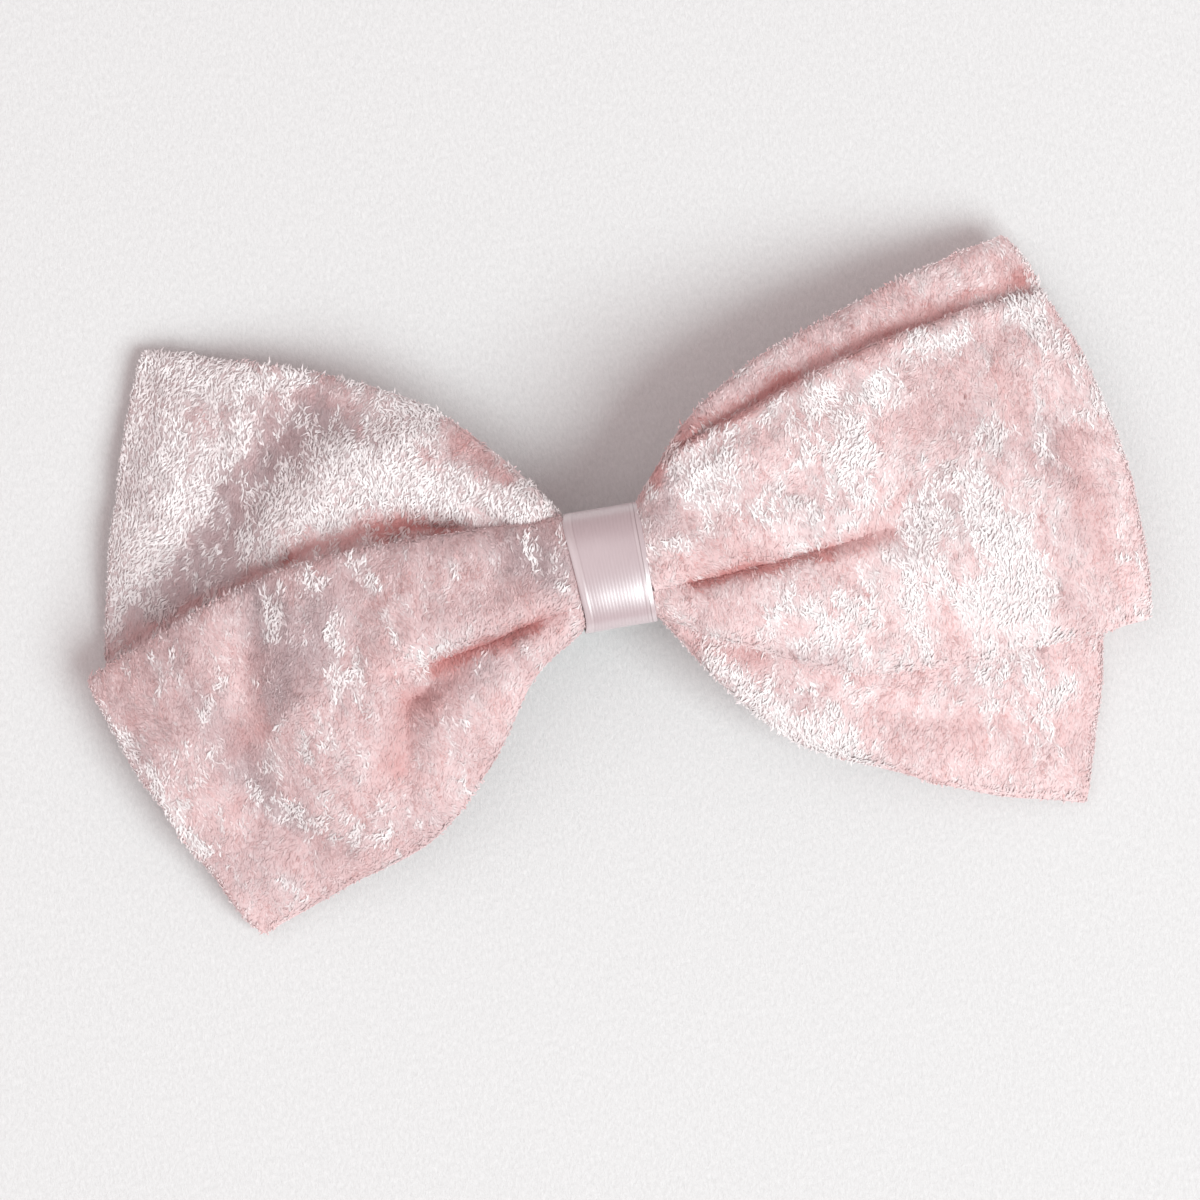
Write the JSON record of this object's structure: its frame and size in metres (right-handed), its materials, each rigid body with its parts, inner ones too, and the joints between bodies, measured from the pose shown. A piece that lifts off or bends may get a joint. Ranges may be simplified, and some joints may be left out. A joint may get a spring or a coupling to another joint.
{
  "type": "barrette",
  "caption": "Velvet bow barrette: two crossed crushed-velvet panels and a satin band on an arched steel snap clip with a hinged locking arm.",
  "frame": {"origin": "middle of the outline, on the surface that the barrette rests on, under the knot and on the clip's centre line", "axes": "+X along the bow from the clip's hinge to its catch, +Y across the bow, +Z out of the front of the knot"},
  "size_m": [0.1345, 0.0768, 0.0196],
  "materials": {
    "velvet": "crushed pile with a silky sheen",
    "satin": "satin ribbon with fine ribs",
    "thread": "twisted sewing thread",
    "glue": "set hot-melt glue",
    "clip_steel": "nickel-plated sheet, rolled",
    "spring_steel": "tempered strip, brushed"
  },
  "bodies": {
    "bow": {"velvet_back_bow": "velvet", "velvet_front_bow": "velvet", "gather_thread": "thread", "knot_band": "satin", "band_stitches": "thread", "glue_pad": "glue", "base_plate": "clip_steel", "hinge_pin": "clip_steel", "tension_spring": "spring_steel", "catch_bracket": "spring_steel", "catch_rivet": "clip_steel"},
    "arm": {"locking_arm": "clip_steel"},
    "upper_prong": {"catch_prong_upper": "spring_steel"},
    "lower_prong": {"catch_prong_lower": "spring_steel"}
  },
  "joints": [
    {"name": "arm_hinge", "type": "hinge", "parent": "bow", "child": "arm", "pos_m": [-0.034, 0, 0.00176], "axis": [0, 1, 0], "range_deg": [0, 75]},
    {"name": "upper_prong_squeeze", "type": "hinge", "parent": "bow", "child": "upper_prong", "pos_m": [0.032, 0.00235, 0.00555], "axis": [-1, 0, 0], "range_deg": [0, 6], "stiffness_Nm_per_rad": 0.05},
    {"name": "lower_prong_squeeze", "type": "hinge", "parent": "bow", "child": "lower_prong", "pos_m": [0.032, -0.00235, 0.00555], "axis": [1, 0, 0], "range_deg": [0, 6], "stiffness_Nm_per_rad": 0.05}
  ]
}
